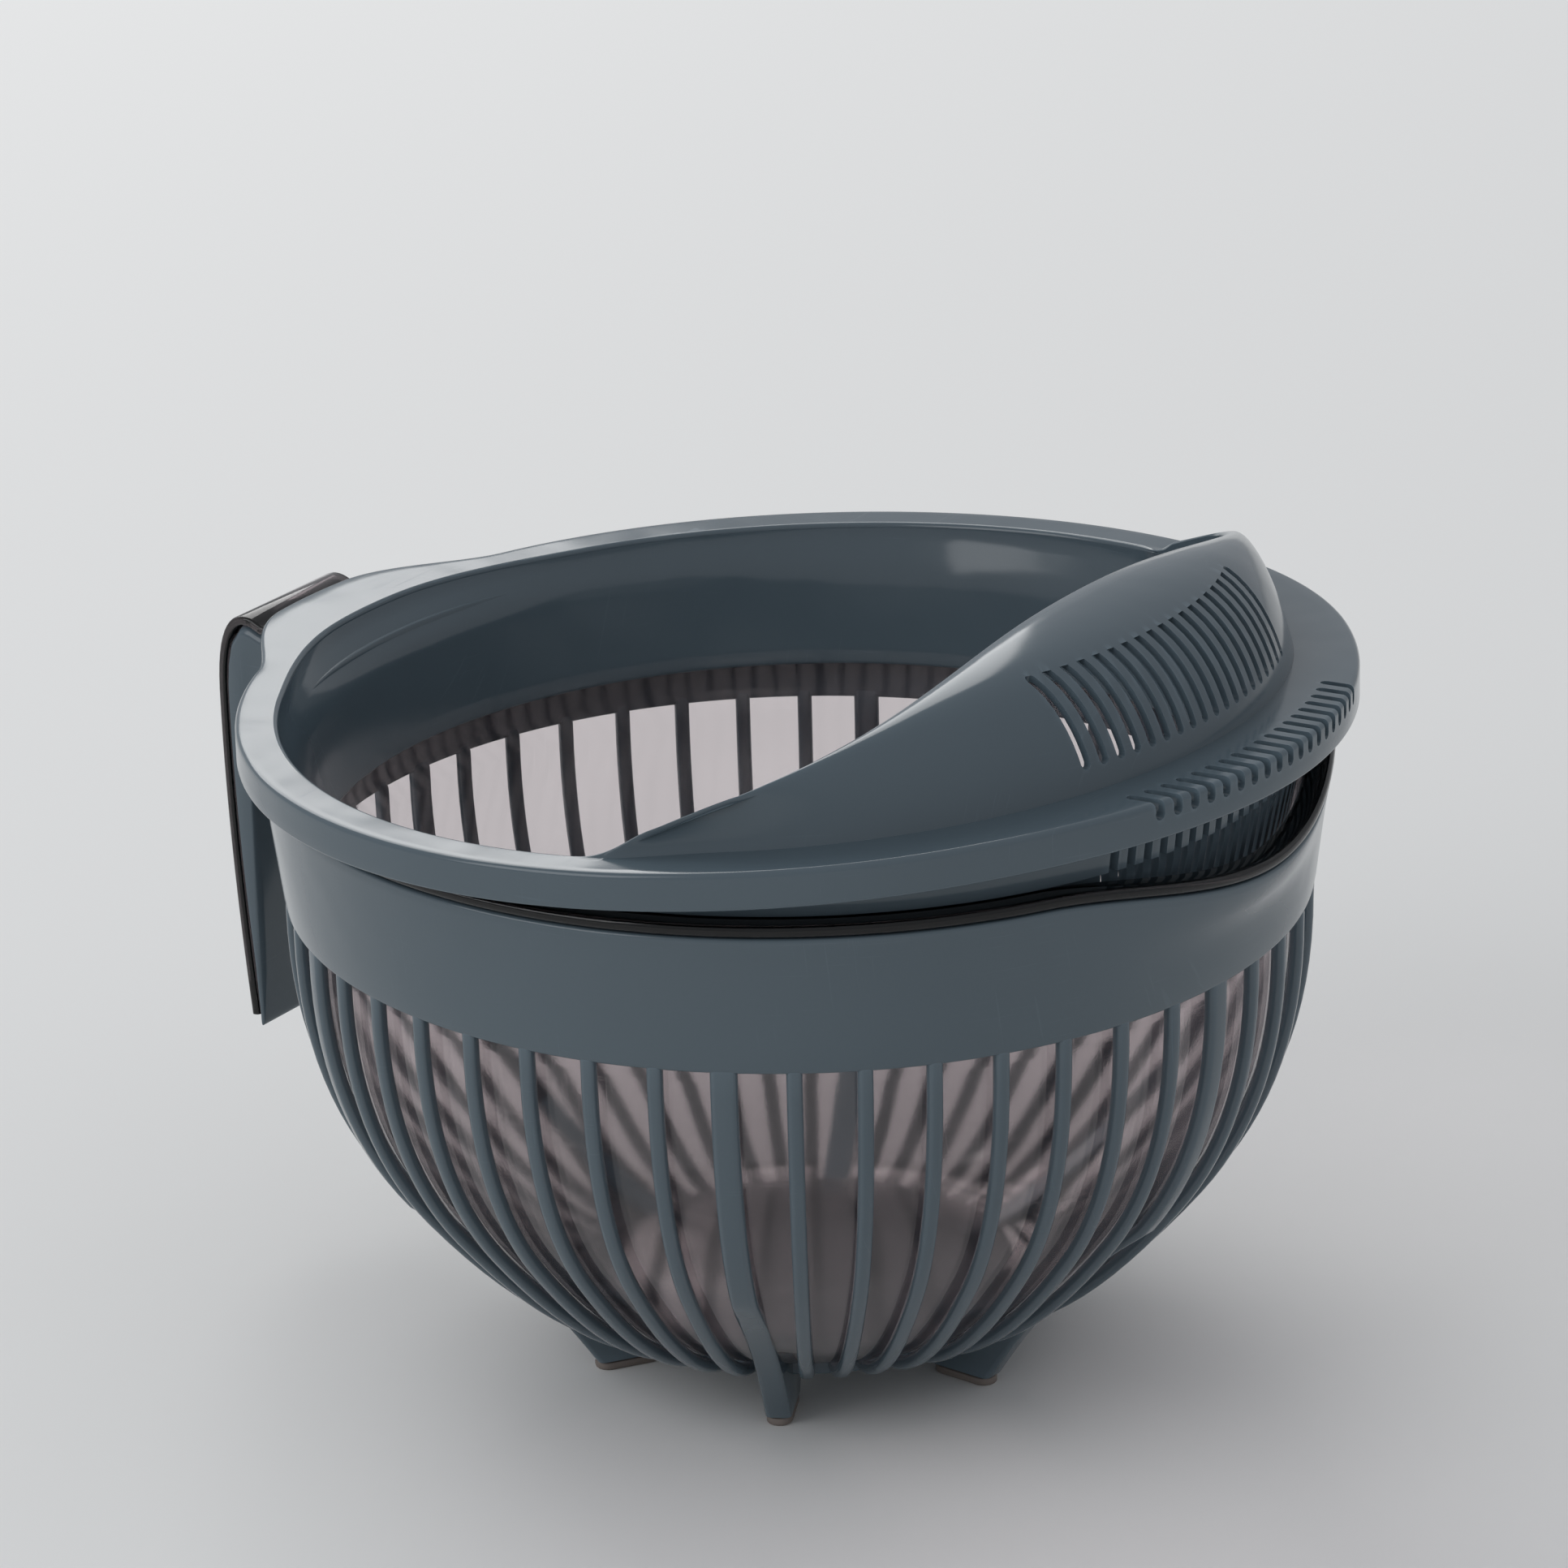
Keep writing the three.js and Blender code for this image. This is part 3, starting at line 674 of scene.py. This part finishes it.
def strap_path(steps):
    bend_start = (tab_edge, tab_under)
    bend_end = (strap_outer, strap_top - 20)
    arm = bend([(band_top_radius - 1, rim_top), (band_top_radius + 8, tab_under - 1), bend_start], steps)
    over = bend([bend_start, (tab_edge + 6, strap_top + 2), (strap_outer, strap_top + 1), bend_end],
                2 * steps)
    drop = bend([bend_end, (strap_outer, strap_top - 58), (strap_outer - 5, handle_bottom)], 2 * steps)
    return np.vstack([arm, over[1:], drop[1:]])

def evenly(path, count):
    """The same path with evenly spaced points."""
    gaps = np.linalg.norm(np.diff(path, axis=0), axis=1)
    along = np.concatenate([[0], np.cumsum(gaps)])
    wanted = np.linspace(0, along[-1], count)
    return np.stack([np.interp(wanted, along, path[:, k]) for k in range(2)], axis=1)

def mirrored(path):
    return np.asarray(path) * [-1, 1]

# %% Strap of the bowl
strap_out = strap_path(9)
strap_in = moved_in(strap_out, strap_thickness)
strap = skin("bowl_strap", rounded_slab(mirrored(strap_out), mirrored(strap_in), handle_width, 0.8, 4))
strap.data.materials.append(smoke)
mark_depth_and_shade(strap, np.full(len(strap.data.vertices), 0.93))

# %% Handle of the cage
grip_out = moved_in(strap_out, strap_thickness + 0.3)
inner_reach = strap_outer - strap_thickness - 0.3 - grip_thickness
arm_bottom = band_top - 10

def cage_handle_rings():
    root = band_top_radius - band_wall / 2
    turn_at = int(np.argmax(grip_out[:, 0] > inner_reach + 1.5))
    arm_out = np.vstack([[(root, band_top - 0.3), (band_top_radius + 1.2, band_top - 0.3)],
                         grip_out[1:turn_at + 1]])
    elbow = bend([(inner_reach - 8, arm_bottom), (inner_reach, arm_bottom), (inner_reach, arm_bottom - 8)], 8)
    arm_in = np.vstack([[(root, arm_bottom)], elbow])
    drop_out = grip_out[turn_at:]
    drop_in = np.array([(inner_reach, arm_bottom - 8), (inner_reach, handle_bottom)])
    out = np.vstack([evenly(arm_out, 18), evenly(drop_out, 22)[1:]])
    inn = np.vstack([evenly(arm_in, 18), evenly(drop_in, 22)[1:]])
    last_out, last_in = out[-1], inn[-1]
    middle = (last_out + last_in) / 2
    for share in (0.35, 0.65, 0.85, 1.0):
        squeeze = 0.75 * (1 - math.sqrt(1 - share ** 2))
        drop = np.array([0, -2.4 * share])
        out = np.vstack([out, last_out + (middle - last_out) * squeeze + drop])
        inn = np.vstack([inn, last_in + (middle - last_in) * squeeze + drop])
    return rounded_slab(mirrored(out), mirrored(inn), handle_width, 2.4, 6)

cage_handle = skin("cage_handle", cage_handle_rings())
cage_handle.data.materials.append(slate)
print("strap and handle:", len(strap.data.polygons), len(cage_handle.data.polygons), "faces")

# %% [markdown]
# ## The clear bowl
# One outline, outside and then inside, turned about the axis. The rim is a bead that sits on
# the band with a rounded edge. Its plastic is marked deep, so it shows as a dark line. The low
# wall gets painted shade through the same attribute, so the bowl is darker towards its floor.

# %% Bowl
bowl_gap = rib_depth + 0.4
bowl_wall = 2.2

def bowl_outline():
    curve = belly(26)
    outer = moved_in(curve, bowl_gap, level_end=True)[::-1]
    inner = moved_in(curve, bowl_gap + bowl_wall, level_end=True)
    wall_out = band_top_radius - bowl_gap
    wall_in = wall_out - bowl_wall
    bead = band_top_radius + 0.5
    share = np.linspace(0, 1, 9)[1:-1, None]
    rise_out = outer[-1] + share * (np.array([wall_out, rim_bottom]) - outer[-1])
    rise_in = np.array([wall_in, rim_top - 0.8]) + share * (inner[0] - [wall_in, rim_top - 0.8])
    return np.vstack([
        [(0, outer[0][1]), (15, outer[0][1]), (31, outer[0][1])], outer, rise_out,
        [(wall_out, rim_bottom - 0.5)], [(wall_out + 0.5, rim_bottom)],
        corner((bead - 1.3, rim_bottom + 1.3), 1.3, -90, 0), corner((bead - 1.3, rim_top - 1.3), 1.3, 0, 90),
        corner((wall_in + 0.8, rim_top - 0.8), 0.8, 90, 180), rise_in, inner,
        [(31, inner[-1][1]), (15, inner[-1][1]), (0, inner[-1][1])]])

bowl_rings = add_spout(turned_about_axis(bowl_outline(), 256))
bowl = skin("clear_bowl_shell", bowl_rings, loop=True, ring_closed=False)
bowl.data.materials.append(smoke)
found = points_of(bowl)
angle = np.degrees(np.abs(np.arctan2(found[:, 1], found[:, 0])))
dipped = found[:, 2] + spout_dip * (1 - ramp(angle, 0, 30))
# Painted shade: the low wall is darkened towards the bowl's floor through the depth attribute, though its
# plastic is no deeper.
low_wall_shade_amount, low_wall_from, low_wall_to = 0.40, 18, 92
low_wall_shade = low_wall_shade_amount * (1 - ramp(points_of(bowl)[:, 2], low_wall_from, low_wall_to))
mark_depth_and_shade(bowl, np.maximum(0.93 * ramp(dipped, rim_bottom - 2.0, rim_bottom + 0.2), low_wall_shade))
print("bowl:", len(bowl.data.polygons), "faces")

# %% [markdown]
# ## The strainer ring
# The ring changes all the way round: its land climbs towards the pouring side, a tab reaches
# out over the handle, and a hood grows out of its inner edge. So it is drawn as one section
# with a fixed number of points that is asked for at each angle. Where there is no hood, its
# points close up into the rounded inner edge, and the skin stays in one piece.

# %% Heights and edges of the ring
land_outer = band_top_radius + 5.3
land_inner = land_outer - 10
ring_wall = 2.0
lip_height = 8.8
visor_half_angle = 80.0
visor_rise = 26.2
visor_wall = 1.5
visor_setback = land_inner - 43.5
visor_half_width = land_inner - 2.5

def land_height(a):
    return band_top + 9.7 + 13.2 * ((1 + math.cos(math.radians(a))) / 2) ** 1.7

def lip_radius(a):
    from_spout = abs((a + 180) % 360 - 180)
    from_handle = 180 - from_spout
    return land_outer + 3 * (1 - ramp(from_spout, 0, 40)) + 12.5 * (1 - ramp(from_handle, 5, 22))

def inner_radius(a):
    from_handle = 180 - abs((a + 180) % 360 - 180)
    return land_inner + 4 * (1 - ramp(from_handle, 5, 30))

def visor_edge_radius(a):
    """The hood's edge from above is a flattened oval."""
    low, high = visor_setback * 0.9, land_inner
    c, s = math.cos(math.radians(a)), abs(math.sin(math.radians(a)))
    for _ in range(40):
        middle = (low + high) / 2
        if (middle * c / visor_setback) ** 2 + (middle * s / visor_half_width) ** 4.4 < 1:
            low = middle
        else:
            high = middle
    return low

# %% Section of the ring
dome_steps = 16

def hood_points(a, inner, top):
    """The hood from its foot, over its edge and back inside; or the rounded inner edge."""
    count = 2 * dome_steps + 3
    plain = corner((inner + 1.2, top - 1.2), 1.2, 90, 180, count)
    share = abs((a + 180) % 360 - 180) / visor_half_angle
    if share >= 1:
        return plain
    rise = visor_rise * (1 - share ** 3) ** 1.3
    foot = land_inner - 4.5 * (1 - float(ramp(share, 0.8, 1)))
    edge = min(visor_edge_radius(a), foot - 1)
    dome = bend([(foot, top - 0.6), (foot - 1 - 0.08 * rise, top + 0.5 * rise),
                 (foot - 0.33 * (foot - edge), top + 1.12 * rise), (edge, top + rise)], dome_steps)
    inside = moved_in(dome, -visor_wall)
    along = dome[-1] - dome[-2]
    along = along / np.linalg.norm(along)
    middle = (dome[-1] + inside[-1]) / 2
    half = (dome[-1] - inside[-1]) / 2
    round_edge = [middle + half * math.cos(q) + along * 0.75 * math.sin(q)
                  for q in np.radians((45, 90, 135))]
    hood = np.vstack([dome, round_edge, inside[::-1]])
    kept = 1 - float(ramp(share, 0.90, 1.0))
    return plain + (hood - plain) * kept

def ring_section(a):
    top, outer, inner = land_height(a), float(lip_radius(a)), float(inner_radius(a))
    skirt_out = band_top_radius - bowl_gap - bowl_wall - 0.8
    skirt_foot = band_bottom + 10 + 3 * ((1 + math.cos(math.radians(a))) / 2)
    lean = 4.2 / 33.6 + 0.05
    foot_out = skirt_out - lean * (rim_top - skirt_foot)
    seat = rim_top + 0.3
    skirt_in = np.linspace((skirt_out - ring_wall, rim_bottom), (foot_out - ring_wall, skirt_foot + 1), 7)
    skirt_back = np.linspace((foot_out, skirt_foot + 1), (skirt_out, rim_bottom), 7)
    hood = hood_points(a, inner, top)
    land = np.linspace((outer - 1.3, top), hood[0], 6)[1:-1]
    throat = np.linspace(hood[-1], skirt_in[0], 4)[1:-1]
    return np.vstack([
        corner((outer - 0.7, top - lip_height + 0.7), 0.7, -90, 0, 4),
        [(outer, top - 5.5), (outer, top - 2.5)],
        corner((outer - 1.3, top - 1.3), 1.3, 0, 90, 6), land, hood, throat, skirt_in,
        corner((foot_out - 1, skirt_foot + 1), 1.0, 180, 360, 7)[1:-1], skirt_back,
        [(skirt_out, seat - 0.3), (skirt_out + 0.3, seat), (skirt_out + ring_wall, seat),
         (inner + ring_wall, top - ring_wall), (outer - ring_wall, top - ring_wall),
         (outer - ring_wall, top - 5.5), (outer - ring_wall, top - lip_height + 0.5)]])

def ring_rings(steps):
    rings = []
    for a in np.linspace(0, 360, steps, endpoint=False):
        outline = ring_section(float(a))
        c, s = math.cos(math.radians(a)), math.sin(math.radians(a))
        rings.append(np.stack([outline[:, 0] * c, outline[:, 0] * s, outline[:, 1]], axis=1))
    return rings

ring = skin("strainer_ring_body", ring_rings(480), loop=True, crisp=45)
print("ring before cutting:", len(ring.data.polygons), "faces")

# %% [markdown]
# ## Slots
# Nineteen saw-thin slots are cut in three aligned rows: through the hood, over the corner of
# the lip, and through the skirt. The cutters are one tree: a point for each slot says where it
# starts and how far it has to be stretched, and a rounded model is placed on it. Cutting is
# done with booleans, one for each row, because the walls under the slots are curved both ways.

# %% One rounded cutter
slot_count, slot_pitch, slot_width = 19, 4.65, 2.3

def cutter_model(name, length, height, ends):
    """A cutter from (0, 0) to (length, height), rounded across at the named ends."""
    half = slot_width / 2
    rings = []
    for y in np.linspace(-half, half, 9):
        back = half - math.sqrt(max(half ** 2 - y ** 2, 0))
        x_low = back if "near" in ends else 0
        z_low = back if "low" in ends else 0
        z_high = height - (back if "high" in ends else 0)
        rings.append([(x_low, y, z_low), (length, y, z_low), (length, y, z_high), (x_low, y, z_high)])
    return skin(name, rings, placed=False)

def cutter_tree(model):
    tree = bpy.data.node_groups.new("place_" + model.name, "GeometryNodeTree")
    face = tree.interface
    face.new_socket("Points", in_out="INPUT", socket_type="NodeSocketGeometry")
    face.new_socket("Finish", in_out="INPUT", socket_type="NodeSocketMaterial")
    face.new_socket("Geometry", in_out="OUTPUT", socket_type="NodeSocketGeometry")
    link = tree.links.new
    given = tree.nodes.new("NodeGroupInput")
    out = tree.nodes.new("NodeGroupOutput")
    stretch = tree.nodes.new("GeometryNodeInputNamedAttribute")
    stretch.data_type = "FLOAT_VECTOR"
    stretch.inputs["Name"].default_value = "stretch"
    info = tree.nodes.new("GeometryNodeObjectInfo")
    info.inputs["Object"].default_value = model
    stand = tree.nodes.new("GeometryNodeInstanceOnPoints")
    realize = tree.nodes.new("GeometryNodeRealizeInstances")
    finish = tree.nodes.new("GeometryNodeSetMaterial")
    link(given.outputs["Points"], stand.inputs["Points"])
    link(info.outputs["Geometry"], stand.inputs["Instance"])
    link(stretch.outputs["Attribute"], stand.inputs["Scale"])
    link(stand.outputs["Instances"], realize.inputs["Geometry"])
    link(realize.outputs["Geometry"], finish.inputs["Geometry"])
    link(given.outputs["Finish"], finish.inputs["Material"])
    link(finish.outputs["Geometry"], out.inputs["Geometry"])
    return tree

# %% Three rows of cutters
def row_of_cutters(name, ends, size_at):
    """size_at gives, for one slot's y, its low corner (x, z) and its length and height."""
    offsets = [(i - (slot_count - 1) / 2) * slot_pitch for i in range(slot_count)]
    sizes = [size_at(y) for y in offsets]
    length = sum(s[2] for s in sizes) / slot_count
    height = sum(s[3] for s in sizes) / slot_count
    model = cutter_model(name + "_model", length, height, ends)
    mesh = bpy.data.meshes.new(name + "_points")
    mesh.from_pydata([(s[0] / 1000 + axis_x, y / 1000, s[1] / 1000) for y, s in zip(offsets, sizes)], [], [])
    stretch = mesh.attributes.new("stretch", "FLOAT_VECTOR", "POINT")
    stretch.data.foreach_set("vector", [v for s in sizes for v in (s[2] / length, 1, s[3] / height)])
    holder = bpy.data.objects.new(name, mesh)
    scene.collection.objects.link(holder)
    tree = cutter_tree(model)
    modifier = holder.modifiers.new("place", "NODES")
    modifier.node_group = tree
    for item in tree.interface.items_tree:
        if item.item_type == "SOCKET" and item.in_out == "INPUT" and item.name == "Finish":
            modifier[item.identifier] = slate
    seen = bpy.context.evaluated_depsgraph_get()
    solid = bpy.data.meshes.new_from_object(holder.evaluated_get(seen))
    bpy.data.objects.remove(holder)
    bpy.data.objects.remove(model)
    return solid

def across(radius, y):
    return math.sqrt(radius ** 2 - y ** 2)

def slot_top(y):
    return land_height(math.degrees(math.asin(y / land_outer)))

slot_margin, slot_lift, slot_top_share = 14, 4, 0.87

def hood_slot(y):
    near = visor_setback + slot_margin
    low = slot_top(y) + slot_lift
    high = slot_top(y) + slot_top_share * visor_rise
    return near, low, land_outer - near, high - low

corner_inset, corner_depth, corner_reach, corner_height = 3.6, 4.2, 6, 6.2

def corner_slot(y):
    start = across(land_inner + corner_inset, y)
    return start, slot_top(y) - corner_depth, land_outer + corner_reach - start, corner_height

skirt_inward, skirt_outward, skirt_lift, skirt_drop = 12, 2.4, 18, 5

def skirt_slot(y):
    start = across(land_inner - skirt_inward, y)
    low = band_bottom + skirt_lift
    return start, low, across(land_inner + skirt_outward, y) - start, slot_top(y) - skirt_drop - low

rows = [row_of_cutters("hood_slots", ("near", "low"), hood_slot),
        row_of_cutters("corner_slots", ("near", "low"), corner_slot),
        row_of_cutters("skirt_slots", ("low", "high"), skirt_slot)]

def cut_away(piece, meshes):
    """Cuts each mesh out of the piece, then keeps the result as the piece's own mesh."""
    tools = []
    for mesh in meshes:
        tool = bpy.data.objects.new("cutter", mesh)
        scene.collection.objects.link(tool)
        modifier = piece.modifiers.new("cut", "BOOLEAN")
        modifier.operation = "DIFFERENCE"
        modifier.solver = "EXACT"
        modifier.object = tool
        tools.append(tool)
    seen = bpy.context.evaluated_depsgraph_get()
    made = bpy.data.meshes.new_from_object(piece.evaluated_get(seen))
    piece.modifiers.clear()
    piece.data = made
    for tool in tools:
        bpy.data.objects.remove(tool)

notch_side_gap, notch_top_gap, notch_inset = 1.3, 0.7, 1.5

def notch_mesh():
    """The block that lets the handle's arms out under the ring's tab."""
    half = handle_width / 2 + notch_side_gap
    top = tab_under + notch_top_gap
    x_low, x_high = -strap_outer, -(band_top_radius + notch_inset)
    block = skin("handle_notch", [[(x, -half, rim_bottom - lip_height), (x, half, rim_bottom - lip_height),
                                   (x, half, top), (x, -half, top)] for x in (x_low, x_high)])
    mesh = block.data
    bpy.data.objects.remove(block)
    return mesh

ring.data.materials.append(slate)
cut_away(ring, [*rows, notch_mesh()])
soften(ring.data, 45)
print("ring after cutting:", len(ring.data.polygons), "faces")

# %% [markdown]
# ## Put the pieces on their bodies
# Three things come apart, so there are three bodies: the cage with its pads, the bowl with its
# strap, and the ring. Each piece is hung on its body, and the working solids it stands for are hidden.

# %% Bodies
def settle(piece, body, nodes):
    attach(piece, body)
    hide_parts(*nodes)

for piece in (band, cage_floor, ribs, cage_handle):
    settle(piece, "cage", ["drain_cage"])
settle(pads, "cage", [f"foot_pad_{i}" for i in range(1, 7)])
for piece in (bowl, strap):
    settle(piece, "bowl", ["clear_bowl"])
settle(ring, "ring", ["strainer_ring"])
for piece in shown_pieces():
    print(piece.name, len(piece.data.polygons))
